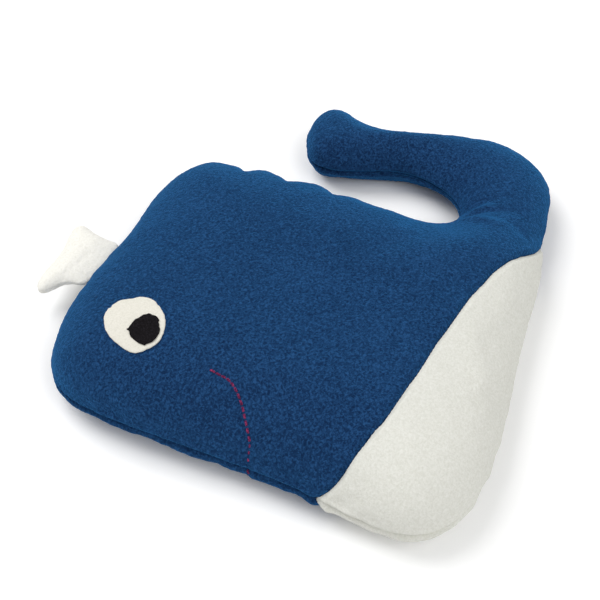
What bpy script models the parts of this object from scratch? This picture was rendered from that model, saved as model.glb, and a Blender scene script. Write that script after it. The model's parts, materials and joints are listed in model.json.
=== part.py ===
"""Plush whale: a flat stuffed toy of fleece that lies on its side.

The whale faces -X, the top of its head is +Y and its left side is up, +Z. Two
outlines of cloth are sewn together round the edge, at SEAM_HEIGHT above the floor.
Each side is a blue body with a white belly, an eye and a stitched mouth. The tail is
cut in one with the body and bends at its root, where the cloth is parted here along
its fold. A white spout is caught in the seam over the head and flaps there.
"""

import math

import bmesh
import bpy
from mathutils import Matrix, Vector
from mathutils.bvhtree import BVHTree

# Driving dimensions of the body, in metres
BODY_LENGTH = 0.252
BODY_HEIGHT = 0.319
SEAM_HEIGHT = 0.021
BODY_CROWN = 0.041
FLAT_CUT = 0.0005
CLOTH = 0.0016
GAP = 0.0003
FILLING_GAP = 0.0005
SEAM_THREAD = 0.0005
OVERRUN = 0.02
MERGE = 0.000002

# The tail, whose root is placed by shares of the body's two lengths
TAIL_ROOT_WIDTH = 0.068
TAIL_REACH = 0.092
TAIL_RISE = 0.182
TAIL_CROWN = 0.021
TAIL_ROOT_SHARES = (0.599, -0.277)
TAIL_TILT = math.radians(13.5)
TAIL_BEND = math.radians(30)
TAIL_SIDES = 8
KNUCKLE_INSET = 0.0035
KNUCKLE_SIDES = 20
KNUCKLE_RINGS = 8
WEDGE_REACH_SHARE = 0.6

# The spout, sewn into the seam over the head
SPOUT_WIDTH = 0.068
SPOUT_LENGTH = 0.042
SPOUT_THICKNESS = 0.0115
SPOUT_ROOT_RADIUS = 0.0026
SPOUT_TUCK = 0.0007
SPOUT_CLOTH = 0.0014
SPOUT_PLACE_SHARE = -0.036
SPOUT_FOOT_SHARES = (-0.2, -0.1, 0, 0.1, 0.2)
SPOUT_ROOT_SHARE = 0.42

# The eye patches and the mouth's thread
EYE_WIDTH = 0.042
EYE_HEIGHT = 0.049
EYE_CLOTH = 0.0012
PUPIL_WIDTH = 0.024
PUPIL_HEIGHT = 0.024
PUPIL_CLOTH = 0.001
MOUTH_THREAD = 0.0012
MOUTH_STITCH = 0.004
MOUTH_LIFT = 0.0009
STITCH_POINTS = 4
SEAM_STEPS = 3
MOUTH_STEPS = 12

# Outline of the body in shares of BODY_LENGTH and BODY_HEIGHT, from the crotch on
BODY_OUTLINE_SHARES = (
    (0.530, -0.108),
    (0.515, 0.080),
    (0.494, 0.250),
    (0.474, 0.370),
    (0.402, 0.470),
    (0.250, 0.503),
    (0.060, 0.492),
    (-0.140, 0.492),
    (-0.320, 0.468),
    (-0.478, 0.394),
    (-0.508, 0.258),
    (-0.480, 0.110),
    (-0.466, -0.040),
    (-0.450, -0.180),
    (-0.459, -0.315),
    (-0.440, -0.444),
    (-0.305, -0.518),
    (-0.100, -0.516),
    (0.130, -0.486),
    (0.340, -0.454),
    (0.492, -0.431),
)
# How far in each ring of the body's cage lies, and its height in shares
BODY_RING_SHARES = (0.04, 0.24, 0.66)
UPPER_RISE_SHARES = (0.46, 0.94, 1.03)
LOWER_DROP_SHARES = (0.42, 0.64, 1.0)
STUB_RISE_SHARE = 0.62
STUB_END_SHARE = 0.25

# Inner and outer edge of the tail, in shares of TAIL_REACH and TAIL_RISE
TAIL_EDGE_SHARES = (
    ((0.16, 0.205), (0.45, -0.150)),
    ((0.29, 0.255), (0.88, -0.070)),
    ((0.36, 0.341), (1.08, 0.160)),
    ((0.40, 0.450), (1.02, 0.365)),
    ((0.36, 0.570), (0.82, 0.590)),
    ((0.21, 0.700), (0.76, 0.750)),
    ((0.08, 0.840), (0.86, 0.890)),
    ((0.16, 0.985), (0.76, 1.020)),
)
# Height of the tail at its root and at each pair of edge points, in shares
TAIL_HEIGHT_SHARES = (1.0, 1.0, 1.0, 1.0, 1.0, 0.92, 0.94, 1.06, 0.95)

# Outline of the spout in shares of SPOUT_WIDTH and SPOUT_LENGTH, from its root
SPOUT_OUTLINE_SHARES = (
    (0.30, 0.0),
    (0.29, 0.36),
    (0.35, 0.76),
    (0.33, 0.98),
    (0.19, 1.0),
    (-0.10, 0.85),
    (-0.48, 0.80),
    (-0.64, 0.68),
    (-0.63, 0.50),
    (-0.43, 0.28),
    (-0.31, 0.0),
)
SPOUT_RING_SHARES = (0.04, 0.30)
SPOUT_RISE_SHARES = (0.50, 1.0)

# Places on the body, in shares of BODY_LENGTH and BODY_HEIGHT
EYE_SHARES = (-0.287, 0.249)
PUPIL_SHARES = (-0.296, 0.212)
MOUTH_SHARES = (
    (-0.321, 0.050),
    (-0.313, 0.022),
    (-0.325, -0.003),
    (-0.353, -0.034),
    (-0.385, -0.060),
    (-0.409, -0.072),
    (-0.433, -0.078),
    (-0.448, -0.083),
)
BELLY_SEAM_SHARES = (
    (-0.600, -0.225),
    (-0.440, -0.245),
    (-0.380, -0.275),
    (-0.262, -0.298),
    (-0.091, -0.310),
    (0.091, -0.314),
    (0.313, -0.334),
    (0.460, -0.356),
    (0.540, -0.382),
    (0.592, -0.440),
    (0.600, -0.560),
)
# Radii round the eye's cut edge, which hand scissors leave a little uneven
EYE_EDGE_SHARES = (1.0, 0.99, 1.01, 1.0, 0.98, 1.0, 1.02, 0.99, 1.0, 1.01, 0.97, 1.0)
PUPIL_EDGE_SHARES = (1.0, 0.94, 1.03, 0.97, 1.05, 0.93, 1.0, 1.06, 0.95, 1.02, 0.96, 1.04)
CORNER_SHARES = (0.25, 0.75)

BLUE_FLEECE = (0.0137, 0.0452, 0.1221)
WHITE_FLEECE = (0.78, 0.77, 0.72)
SPOUT_FLEECE = (0.89, 0.88, 0.84)
EYE_FLEECE = (0.85, 0.83, 0.75)
BLACK_FELT = (0.013, 0.012, 0.012)
STUFFING = (0.86, 0.86, 0.84)
RED_THREAD = (0.36, 0.024, 0.060)
BLUE_THREAD = (0.010, 0.030, 0.085)


def main():
    clear_scene()
    parts = new_collection("plush_whale")
    helpers = new_collection("helpers")
    helpers.hide_render = True
    blue = cloth_material("blue_fleece", BLUE_FLEECE)
    white = cloth_material("white_fleece", WHITE_FLEECE)
    stuffing = cloth_material("stuffing", STUFFING)
    seam_thread = cloth_material("blue_thread", BLUE_THREAD)
    body = body_parts(helpers, blue, white, stuffing, seam_thread)
    body += eye_parts(helpers)
    body += mouth_parts(helpers)
    tail = tail_parts(helpers, blue, stuffing, seam_thread)
    spout = spout_parts(helpers, stuffing)
    middle, along, out = hinge_frame()
    tail_hinge = joint_empty("tail_hinge", middle.to_3d(), along.to_3d(), helpers)
    spout_hinge = joint_empty("spout_hinge", spout_root(helpers), Vector((1, 0, 0)), helpers)
    for thing in body + tail + spout:
        move_to_collection(thing, parts)
    for thing in tail:
        hang_from(thing, tail_hinge)
    for thing in spout:
        hang_from(thing, spout_hinge)
    centre_on_floor(body, tail + spout, (tail_hinge, spout_hinge))
    report_joint("tail_bend", tail_hinge)
    report_joint("spout_bend", spout_hinge)


def clear_scene():
    for thing in list(bpy.data.objects):
        bpy.data.objects.remove(thing)


def new_collection(name):
    collection = bpy.data.collections.new(name)
    bpy.context.scene.collection.children.link(collection)
    return collection


def move_to_collection(thing, collection):
    for other in list(thing.users_collection):
        other.objects.unlink(thing)
    collection.objects.link(thing)
    thing.hide_render = False
    thing.display_type = "TEXTURED"


def cloth_material(name, colour):
    """A matt cloth, thread or stuffing with no metal in it."""
    material = bpy.data.materials.new(name)
    material.use_nodes = True
    shader = material.node_tree.nodes["Principled BSDF"]
    shader.inputs["Base Color"].default_value = (*colour, 1)
    shader.inputs["Roughness"].default_value = 0.95
    shader.inputs["Metallic"].default_value = 0
    material.diffuse_color = (*colour, 1)
    return material


# Placing on the body

def body_point(share):
    return Vector((share[0] * BODY_LENGTH, share[1] * BODY_HEIGHT))


def hinge_frame():
    """The middle of the tail's root, the way along its hinge and the way out."""
    middle = body_point(TAIL_ROOT_SHARES)
    along = Vector((-math.sin(TAIL_TILT), math.cos(TAIL_TILT)))
    out = Vector((math.cos(TAIL_TILT), math.sin(TAIL_TILT)))
    return middle, along, out


def body_outline():
    """The seam line in plan, from the inner end of the tail's root to the outer."""
    middle, along, out = hinge_frame()
    half = along * TAIL_ROOT_WIDTH / 2
    points = [body_point(share) for share in BODY_OUTLINE_SHARES]
    return [middle + half] + points + [middle - half]


def stub_corners():
    """The end of a stub that runs on past the tail's root."""
    middle, along, out = hinge_frame()
    half = along * TAIL_ROOT_WIDTH / 2
    end = middle + out * TAIL_ROOT_WIDTH / 2
    return [end - half, end + half * STUB_END_SHARE]


# Forms

def cushion(outline, centre, ring_shares, rises, drops, weights):
    """A closed cage: the outline's face, extruded and drawn in on both sides."""
    cage = bmesh.new()
    crease = cage.edges.layers.float.new("crease_edge")
    loop = [cage.verts.new((x, y, SEAM_HEIGHT)) for x, y in outline]
    for reverse, heights in ((False, rises), (True, drops)):
        order = loop[::-1] if reverse else loop
        strength = weights[::-1] if reverse else weights
        face = cage.faces.new(order)
        for edge in face.edges:
            edge[crease] = 1
        for share, height in zip(ring_shares, heights):
            face = bmesh.ops.extrude_discrete_faces(cage, faces=[face])["faces"][0]
            for vert, start, weight in zip(face.verts, order, strength):
                plan = centre.lerp(start.co.xy, 1 - share)
                part = weight + (1 - weight) * share / ring_shares[-1]
                vert.co = (*plan, SEAM_HEIGHT + height * part)
    return cage


def shaped(cage, name, offset, helpers):
    """The smooth solid of a cage, grown outwards by an offset along its normals."""
    bmesh.ops.recalc_face_normals(cage, faces=cage.faces)
    mesh = bpy.data.meshes.new(name)
    cage.to_mesh(mesh)
    cage.free()
    thing = helper(name, mesh, helpers)
    smooth = thing.modifiers.new("Subdivision", "SUBSURF")
    smooth.levels = smooth.render_levels = 1
    grow = thing.modifiers.new("Grow", "DISPLACE")
    grow.direction = "NORMAL"
    grow.mid_level = 0
    grow.strength = offset
    halve = thing.modifiers.new("Triangulate", "TRIANGULATE")
    halve.quad_method = "FIXED"
    return thing


def helper(name, mesh, helpers):
    thing = bpy.data.objects.new(name, mesh)
    helpers.objects.link(thing)
    thing.hide_render = True
    thing.display_type = "WIRE"
    return thing


def bake(thing):
    """Replace an object's mesh by the shape that its modifiers give, in triangles."""
    graph = bpy.context.evaluated_depsgraph_get()
    mesh = bpy.data.meshes.new_from_object(thing.evaluated_get(graph))
    thing.modifiers.clear()
    tidy = bmesh.new()
    tidy.from_mesh(mesh)
    bmesh.ops.triangulate(tidy, faces=tidy.faces)
    bmesh.ops.dissolve_degenerate(tidy, dist=MERGE, edges=tidy.edges)
    bmesh.ops.triangulate(tidy, faces=tidy.faces)
    tidy.to_mesh(mesh)
    tidy.free()
    thing.data = mesh
    return thing


def cut(thing, other, operation="DIFFERENCE"):
    boolean = thing.modifiers.new(operation.title(), "BOOLEAN")
    boolean.operation = operation
    boolean.object = other
    return thing


def body_cushion(offset, helpers, stub=True):
    """The body's two domed sides, with or without the stub for the tail."""
    rises = [share * BODY_CROWN for share in UPPER_RISE_SHARES]
    drops = [-share * (SEAM_HEIGHT + FLAT_CUT) for share in LOWER_DROP_SHARES]
    outline = body_outline()
    weights = [1.0] * len(outline)
    weights[0] = weights[-1] = STUB_RISE_SHARE
    if stub:
        outline += stub_corners()
        weights += [STUB_RISE_SHARE] * 2
    cage = cushion(outline, Vector((0, 0)), BODY_RING_SHARES, rises, drops, weights)
    return shaped(cage, "body_cushion", offset, helpers)


def hinge_prism(name, profile, helpers, reach):
    """A profile in the plane across the tail's hinge, run along it both ways."""
    middle, along, out = hinge_frame()
    prism = bmesh.new()
    start = middle.to_3d() - along.to_3d() * reach
    points = [start + out.to_3d() * n + Vector((0, 0, SEAM_HEIGHT + z)) for n, z in profile]
    face = prism.faces.new([prism.verts.new(point) for point in points])
    side = bmesh.ops.extrude_face_region(prism, geom=[face])["geom"]
    ends = [item for item in side if isinstance(item, bmesh.types.BMVert)]
    bmesh.ops.translate(prism, vec=along.to_3d() * 2 * reach, verts=ends)
    bmesh.ops.recalc_face_normals(prism, faces=prism.faces)
    mesh = bpy.data.meshes.new(name)
    prism.to_mesh(mesh)
    prism.free()
    return helper(name, mesh, helpers)


def wedge_profile(apex, way):
    """A wedge that opens up and down from the hinge, on one side of it."""
    high = BODY_CROWN + OVERRUN
    lean = high * math.tan(TAIL_BEND / 2)
    far = TAIL_ROOT_WIDTH
    return [(way * n, z) for n, z in (
        (apex, 0), (apex - lean, high), (far, high), (far, -high), (apex - lean, -high),
    )]


def knuckle(offset, helpers):
    """The rounded end of the body that the tail's root turns on."""
    middle, along, out = hinge_frame()
    ball = bmesh.new()
    bmesh.ops.create_uvsphere(
        ball, u_segments=KNUCKLE_SIDES, v_segments=KNUCKLE_RINGS, radius=1
    )
    radius = TAIL_CROWN - KNUCKLE_INSET + offset
    length = TAIL_ROOT_WIDTH / 2 - KNUCKLE_INSET + offset
    bmesh.ops.scale(ball, vec=(radius, radius, length), verts=ball.verts)
    turn = Matrix.Rotation(TAIL_TILT, 4, "Z") @ Matrix.Rotation(-math.pi / 2, 4, "X")
    bmesh.ops.transform(ball, matrix=turn, verts=ball.verts)
    bmesh.ops.translate(ball, vec=(*middle, SEAM_HEIGHT), verts=ball.verts)
    mesh = bpy.data.meshes.new("knuckle")
    ball.to_mesh(mesh)
    ball.free()
    return helper("knuckle", mesh, helpers)


def body_form(offset, helpers):
    """The body as a solid, ended by the knuckle at the tail's root."""
    form = body_cushion(offset, helpers)
    reach = TAIL_ROOT_WIDTH * WEDGE_REACH_SHARE
    wedge = hinge_prism("root_wedge", wedge_profile(offset, 1), helpers, reach)
    bake(cut(form, wedge))
    return bake(cut(form, knuckle(offset, helpers), "UNION"))


def tail_form(offset, helpers):
    """The tail as a solid that starts inside the body."""
    middle, along, out = hinge_frame()
    half = along * TAIL_ROOT_WIDTH / 2
    back = out * TAIL_ROOT_WIDTH / 4
    reach = Vector((TAIL_REACH, TAIL_RISE))
    pairs = [(middle + half - back, middle - half - back), (middle + half, middle - half)]
    for inner, outer in TAIL_EDGE_SHARES:
        pairs.append((middle + reach * Vector(inner), middle + reach * Vector(outer)))
    cage = bmesh.new()
    crease = cage.edges.layers.float.new("crease_edge")
    first = [cage.verts.new(spot) for spot in tail_section(*pairs[0], TAIL_HEIGHT_SHARES[0])]
    face = cage.faces.new(first)
    for pair, height in zip(pairs[1:], TAIL_HEIGHT_SHARES):
        before = list(face.verts)
        face = bmesh.ops.extrude_discrete_faces(cage, faces=[face])["faces"][0]
        for vert, spot in zip(face.verts, tail_section(*pair, height)):
            vert.co = spot
        for side in (0, TAIL_SIDES // 2):
            edge = cage.edges.get((before[side], face.verts[side]))
            edge[crease] = 1
    cage.faces.new(first[::-1])
    return bake(shaped(cage, "tail_form", offset, helpers))


def tail_section(inner, outer, height):
    """Points round the tail from its outer edge, up over it and back beneath."""
    spots = []
    smoothing = 2 / 3 + math.cos(2 * math.pi / TAIL_SIDES) / 3
    middle = (inner + outer) / 2
    half = (outer - inner) / 2
    for side in range(TAIL_SIDES):
        angle = 2 * math.pi * side / TAIL_SIDES
        plan = middle + half * math.cos(angle)
        rise = math.sin(angle) / smoothing
        depth = TAIL_CROWN * height if rise > 0 else (SEAM_HEIGHT + FLAT_CUT) * min(height, 1)
        spots.append((*plan, SEAM_HEIGHT + depth * rise))
    return spots


def spout_root(helpers):
    """The middle of the spout's hinge. Its root then meets the seam over the head."""
    form = body_cushion(0, helpers)
    tree = BVHTree.FromObject(form, bpy.context.evaluated_depsgraph_get())
    middle = SPOUT_PLACE_SHARE * BODY_LENGTH
    edge = 0
    for share in SPOUT_FOOT_SHARES:
        start = Vector((middle + share * SPOUT_WIDTH, BODY_HEIGHT, SEAM_HEIGHT))
        edge = max(edge, tree.ray_cast(start, Vector((0, -1, 0)))[0].y)
    return Vector((middle, edge - SPOUT_TUCK + SPOUT_ROOT_RADIUS, SEAM_HEIGHT))


def spout_form(offset, helpers):
    """The spout as a thin cushion, turned at its root on the hinge's radius."""
    foot = spout_root(helpers).xy - Vector((0, SPOUT_ROOT_RADIUS))
    size = Vector((SPOUT_WIDTH, SPOUT_LENGTH))
    outline = [foot + size * Vector(share) for share in SPOUT_OUTLINE_SHARES]
    weights = [1.0] * len(outline)
    weights[0] = weights[-1] = SPOUT_ROOT_SHARE
    centre = sum(outline, Vector((0, 0))) / len(outline)
    rises = [share * SPOUT_THICKNESS / 2 for share in SPOUT_RISE_SHARES]
    drops = [-rise for rise in rises]
    cage = cushion(outline, centre, SPOUT_RING_SHARES, rises, drops, weights)
    return bake(shaped(cage, "spout_form", offset, helpers))


def block(name, low, high, helpers):
    """A box between two corners, as a cutter."""
    box = bmesh.new()
    bmesh.ops.create_cube(box, size=1)
    bmesh.ops.translate(box, vec=(0.5, 0.5, 0.5), verts=box.verts)
    bmesh.ops.scale(box, vec=high - low, verts=box.verts)
    bmesh.ops.translate(box, vec=low, verts=box.verts)
    mesh = bpy.data.meshes.new(name)
    box.to_mesh(mesh)
    box.free()
    return helper(name, mesh, helpers)


def far_corner():
    """A corner that lies outside the whole toy on every side."""
    reach = BODY_LENGTH + TAIL_REACH + TAIL_ROOT_WIDTH
    return Vector((reach, BODY_HEIGHT + TAIL_RISE, BODY_CROWN + SEAM_HEIGHT + OVERRUN))


def above(level, helpers):
    far = far_corner()
    return block("above", Vector((-far.x, -far.y, level)), far, helpers)


def below(level, helpers):
    far = far_corner()
    return block("below", -far, Vector((far.x, far.y, level)), helpers)


def layer(outer, inner, helpers):
    """What lies between two forms of one shape, as a new helper."""
    shell = helper("layer", outer.data, helpers)
    return bake(cut(shell, inner))


def left_and_right(name, shell, gap, helpers):
    """The two halves of a shell on either side of the seam's plane."""
    left = helper("left_" + name, shell.data, helpers)
    cut(left, below(SEAM_HEIGHT + gap / 2, helpers))
    right = helper("right_" + name, shell.data, helpers)
    cut(right, above(SEAM_HEIGHT - gap / 2, helpers))
    return left, right


def seam_gap():
    return SEAM_THREAD + 2 * GAP


# The body's pieces

def curve_points(shares, steps):
    """Points on a smooth curve through places on the body, ends included."""
    places = [body_point(share) for share in shares]
    ends = [places[0] * 2 - places[1]] + places + [places[-1] * 2 - places[-2]]
    points = []
    for a, b, c, d in zip(ends, ends[1:], ends[2:], ends[3:]):
        for step in range(steps):
            t = step / steps
            bend = (2 * a - 5 * b + 4 * c - d) * t * t + (3 * b - a - 3 * c + d) * t ** 3
            points.append(b + ((c - a) * t + bend) / 2)
    return points + [places[-1]]


def wall(name, points, thickness, helpers):
    """An upright wall of even thickness along a line in plan."""
    far = far_corner()
    sheet = bmesh.new()
    line = [sheet.verts.new((*point, -far.z)) for point in points]
    edges = [sheet.edges.new(pair) for pair in zip(line, line[1:])]
    grown = bmesh.ops.extrude_edge_only(sheet, edges=edges)["geom"]
    tops = [item for item in grown if isinstance(item, bmesh.types.BMVert)]
    bmesh.ops.translate(sheet, vec=(0, 0, 2 * far.z), verts=tops)
    mesh = bpy.data.meshes.new(name)
    sheet.to_mesh(mesh)
    sheet.free()
    thing = helper(name, mesh, helpers)
    solidify = thing.modifiers.new("Solidify", "SOLIDIFY")
    solidify.thickness = thickness
    solidify.offset = 0
    solidify.use_even_offset = True
    return bake(thing)


def prism(name, points, helpers):
    """An outline in plan, run right through the toy from below to above."""
    far = far_corner()
    column = bmesh.new()
    face = column.faces.new([column.verts.new((*point, -far.z)) for point in points])
    grown = bmesh.ops.extrude_face_region(column, geom=[face])["geom"]
    tops = [item for item in grown if isinstance(item, bmesh.types.BMVert)]
    bmesh.ops.translate(column, vec=(0, 0, 2 * far.z), verts=tops)
    bmesh.ops.recalc_face_normals(column, faces=column.faces)
    mesh = bpy.data.meshes.new(name)
    column.to_mesh(mesh)
    column.free()
    return helper(name, mesh, helpers)


def belly_prism(helpers):
    seam = curve_points(BELLY_SEAM_SHARES, SEAM_STEPS)
    low = -far_corner().y
    corners = [Vector((seam[0].x, low)), Vector((seam[-1].x, low))]
    return prism("belly", corners + seam[::-1], helpers)


def body_parts(helpers, blue, white, stuffing, thread):
    outside = bake(cut(body_form(0, helpers), below(0, helpers)))
    shell = layer(outside, body_form(-CLOTH, helpers), helpers)
    belly = belly_prism(helpers)
    seam = curve_points(BELLY_SEAM_SHARES, SEAM_STEPS)
    parting = wall("belly_parting", seam, seam_gap(), helpers)
    parts = []
    for half in left_and_right("body_panel", shell, seam_gap(), helpers):
        white_part = helper(half.name.replace("body", "belly"), half.data, helpers)
        for modifier in half.modifiers:
            cut(white_part, modifier.object)
        cut(white_part, belly, "INTERSECT")
        cut(half, belly)
        for thing, material in ((half, blue), (white_part, white)):
            cut(thing, parting)
            parts.append(finish(thing, material))
    filling = body_form(-CLOTH - FILLING_GAP, helpers)
    filling.name = "body_filling"
    parts.append(finish(filling, stuffing))
    outer = (SEAM_THREAD - CLOTH) / 2
    inner = bake(body_cushion(outer - SEAM_THREAD, helpers))
    strand = layer(bake(body_cushion(outer, helpers)), inner, helpers)
    edge = seam_strand("edge_seam_thread", strand, helpers)
    reach = TAIL_ROOT_WIDTH * WEDGE_REACH_SHARE
    cut(edge, hinge_prism("root_end", wedge_profile(-CLOTH, 1), helpers, reach))
    parts.append(finish(edge, thread))
    line = wall("belly_thread", seam, SEAM_THREAD, helpers)
    for half in left_and_right("belly_seam_thread", strand, seam_gap(), helpers):
        cut(half, line, "INTERSECT")
        parts.append(finish(half, thread))
    return parts


def seam_strand(name, strand, helpers):
    """The thin band of a strand that lies in the gap between the two sides."""
    edge = helper(name, strand.data, helpers)
    cut(edge, above(SEAM_HEIGHT + SEAM_THREAD / 2, helpers))
    return cut(edge, below(SEAM_HEIGHT - SEAM_THREAD / 2, helpers))


def finish(thing, material):
    bake(thing)
    thing.data.materials.clear()
    thing.data.materials.append(material)
    thing.data.shade_smooth()
    thing.data.set_sharp_from_angle(angle=math.radians(40))
    return thing


def oval(share, width, height, edge_shares):
    """A cut patch's outline: an oval whose radii vary a little."""
    middle = body_point(share)
    points = []
    for step, radius in enumerate(edge_shares):
        angle = 2 * math.pi * step / len(edge_shares)
        way = Vector((width * math.cos(angle), height * math.sin(angle)))
        points.append(middle + way * radius / 2)
    return points


def rounded(points):
    """An outline with its corners cut once, so that it reads as a curve."""
    out = []
    for here, after in zip(points, points[1:] + points[:1]):
        out += [here.lerp(after, share) for share in CORNER_SHARES]
    return out


def eye_parts(helpers):
    white = cloth_material("eye_fleece", EYE_FLEECE)
    black = cloth_material("black_felt", BLACK_FELT)
    eye = oval(EYE_SHARES, EYE_WIDTH, EYE_HEIGHT, EYE_EDGE_SHARES)
    pupil = oval(PUPIL_SHARES, PUPIL_WIDTH, PUPIL_HEIGHT, PUPIL_EDGE_SHARES)
    parts = []
    base = GAP
    for name, outline, cloth, material in (
        ("eye_white", eye, EYE_CLOTH, white), ("eye_pupil", pupil, PUPIL_CLOTH, black),
    ):
        column = prism(name, rounded(outline), helpers)
        top = bake(body_cushion(base + cloth, helpers, stub=False))
        patch = layer(top, bake(body_cushion(base, helpers, stub=False)), helpers)
        for half in left_and_right(name, patch, seam_gap(), helpers):
            cut(half, column, "INTERSECT")
            parts.append(finish(half, material))
        base += cloth + GAP
    return parts


def even_points(line, steps):
    """Points at even distances along a line, its two ends included."""
    lengths = [(b - a).length for a, b in zip(line, line[1:])]
    points = [line[0]]
    for step in range(1, steps):
        left = sum(lengths) * step / steps
        for a, b, length in zip(line, line[1:], lengths):
            if left <= length:
                points.append(a.lerp(b, left / length))
                break
            left -= length
    return points + [line[-1]]


def mouth_parts(helpers):
    """One line of stitches a side: a thread that rises and dips along the cloth."""
    red = cloth_material("red_thread", RED_THREAD)
    form = body_cushion(0, helpers, stub=False)
    tree = BVHTree.FromObject(form, bpy.context.evaluated_depsgraph_get())
    line = curve_points(MOUTH_SHARES, MOUTH_STEPS)
    stitches = round(sum((b - a).length for a, b in zip(line, line[1:])) / MOUTH_STITCH)
    places = even_points(line, stitches * STITCH_POINTS)
    parts = []
    for name, way in (("left_mouth_stitches", 1), ("right_mouth_stitches", -1)):
        spots = []
        for step, place in enumerate(places):
            start = Vector((*place, SEAM_HEIGHT + way * far_corner().z))
            hit, normal = tree.ray_cast(start, Vector((0, 0, -way)))[:2]
            wave = (1 - math.cos(2 * math.pi * step / STITCH_POINTS)) / 2
            height = GAP + MOUTH_THREAD / 2 + MOUTH_LIFT * wave
            spots.append(hit + normal * height)
        parts.append(strand_along(name, spots, MOUTH_THREAD, red, helpers))
    return parts


def strand_along(name, spots, thickness, material, helpers):
    curve = bpy.data.curves.new(name, "CURVE")
    curve.dimensions = "3D"
    curve.bevel_depth = thickness / 2
    curve.bevel_resolution = 0
    curve.use_fill_caps = True
    spline = curve.splines.new("POLY")
    spline.points.add(len(spots) - 1)
    for point, spot in zip(spline.points, spots):
        point.co = (*spot, 1)
    curve.materials.append(material)
    thing = bpy.data.objects.new(name, curve)
    helpers.objects.link(thing)
    return thing


# The tail and the spout

def tail_parts(helpers, blue, stuffing, thread):
    start = hinge_prism("tail_start", wedge_profile(-GAP, -1), helpers, TAIL_ROOT_WIDTH)
    socket = knuckle(GAP, helpers)
    outside = bake(cut(tail_form(0, helpers), below(0, helpers)))
    shell = layer(outside, tail_form(-CLOTH, helpers), helpers)
    parts = []
    for half in left_and_right("tail_panel", shell, seam_gap(), helpers):
        cut(half, start)
        cut(half, socket)
        parts.append(finish(half, blue))
    filling = tail_form(-CLOTH - FILLING_GAP, helpers)
    cut(filling, start)
    cut(filling, knuckle(FILLING_GAP, helpers))
    filling.name = "tail_filling"
    parts.append(finish(filling, stuffing))
    outer = (SEAM_THREAD - CLOTH) / 2
    inner = tail_form(outer - SEAM_THREAD, helpers)
    strand = layer(tail_form(outer, helpers), inner, helpers)
    edge = seam_strand("tail_seam_thread", strand, helpers)
    cut(edge, hinge_prism("thread_start", wedge_profile(-CLOTH, -1), helpers, TAIL_ROOT_WIDTH))
    parts.append(finish(edge, thread))
    return parts


def spout_parts(helpers, stuffing):
    white = cloth_material("spout_fleece", SPOUT_FLEECE)
    shell = layer(spout_form(0, helpers), spout_form(-SPOUT_CLOTH, helpers), helpers)
    parts = []
    for half in left_and_right("spout_panel", shell, GAP, helpers):
        parts.append(finish(half, white))
    filling = spout_form(-SPOUT_CLOTH - FILLING_GAP, helpers)
    filling.name = "spout_filling"
    parts.append(finish(filling, stuffing))
    return parts


# Joints and the place of the whole

def joint_empty(name, place, axis, helpers):
    empty = bpy.data.objects.new(name, None)
    empty.location = place if place.z else (place.x, place.y, SEAM_HEIGHT)
    empty.rotation_euler = Vector((0, 0, 1)).rotation_difference(axis).to_euler()
    helpers.objects.link(empty)
    return empty


def hang_from(thing, empty):
    bpy.context.view_layer.update()
    thing.parent = empty
    thing.matrix_parent_inverse = empty.matrix_world.inverted()


def centre_on_floor(fixed, moving, hinges):
    """Move the whole so that the middle of its box lies over the origin."""
    bpy.context.view_layer.update()
    corners = []
    for thing in fixed + moving:
        corners += [thing.matrix_world @ Vector(corner) for corner in thing.bound_box]
    middle = Vector((0, 0, 0))
    for axis in (0, 1):
        values = [corner[axis] for corner in corners]
        middle[axis] = (min(values) + max(values)) / 2
    for thing in fixed + list(hinges):
        thing.location -= middle
    bpy.context.view_layer.update()


def report_joint(name, empty):
    place = empty.matrix_world.translation
    axis = empty.matrix_world.to_3x3() @ Vector((0, 0, 1))
    print(name, "at", [round(v, 5) for v in place], "axis", [round(v, 5) for v in axis])


main()
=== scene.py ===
"""Plush whale of fleece, lying on its side: the cloth, thread and light of the studio view.

The whale faces -X, the top of its head is +Y and its left side is up. Every piece lies
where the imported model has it. Lengths are in metres.
"""

import json
import math

import bmesh
import bpy
import numpy as np
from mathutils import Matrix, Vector, geometry, noise
from mathutils.bvhtree import BVHTree
from mathutils.kdtree import KDTree


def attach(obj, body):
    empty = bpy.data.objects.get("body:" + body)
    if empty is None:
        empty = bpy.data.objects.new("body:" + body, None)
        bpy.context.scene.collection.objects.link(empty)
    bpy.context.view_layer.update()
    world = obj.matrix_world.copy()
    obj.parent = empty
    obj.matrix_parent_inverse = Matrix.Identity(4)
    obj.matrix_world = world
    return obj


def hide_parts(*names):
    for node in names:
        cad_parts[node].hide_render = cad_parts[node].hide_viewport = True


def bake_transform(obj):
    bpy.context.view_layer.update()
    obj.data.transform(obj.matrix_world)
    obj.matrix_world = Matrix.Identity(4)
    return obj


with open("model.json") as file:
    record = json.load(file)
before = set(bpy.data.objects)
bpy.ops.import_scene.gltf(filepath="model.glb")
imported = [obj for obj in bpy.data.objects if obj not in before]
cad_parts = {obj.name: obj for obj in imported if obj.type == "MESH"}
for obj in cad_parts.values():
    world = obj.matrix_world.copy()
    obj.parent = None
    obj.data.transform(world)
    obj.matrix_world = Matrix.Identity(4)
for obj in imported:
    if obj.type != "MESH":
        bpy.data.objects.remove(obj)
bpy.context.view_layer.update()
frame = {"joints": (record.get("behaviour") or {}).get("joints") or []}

MM = 0.001
FLOOR_GAP = 0.0002
WHITENS_FROM = 0.35
WHITE_FROM = 0.9

# The cloth that a face belongs to; UNDER is added on the side that lies on the floor
BODY, BELLY, TAIL = 0, 1, 2
UNDER = 3

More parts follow.
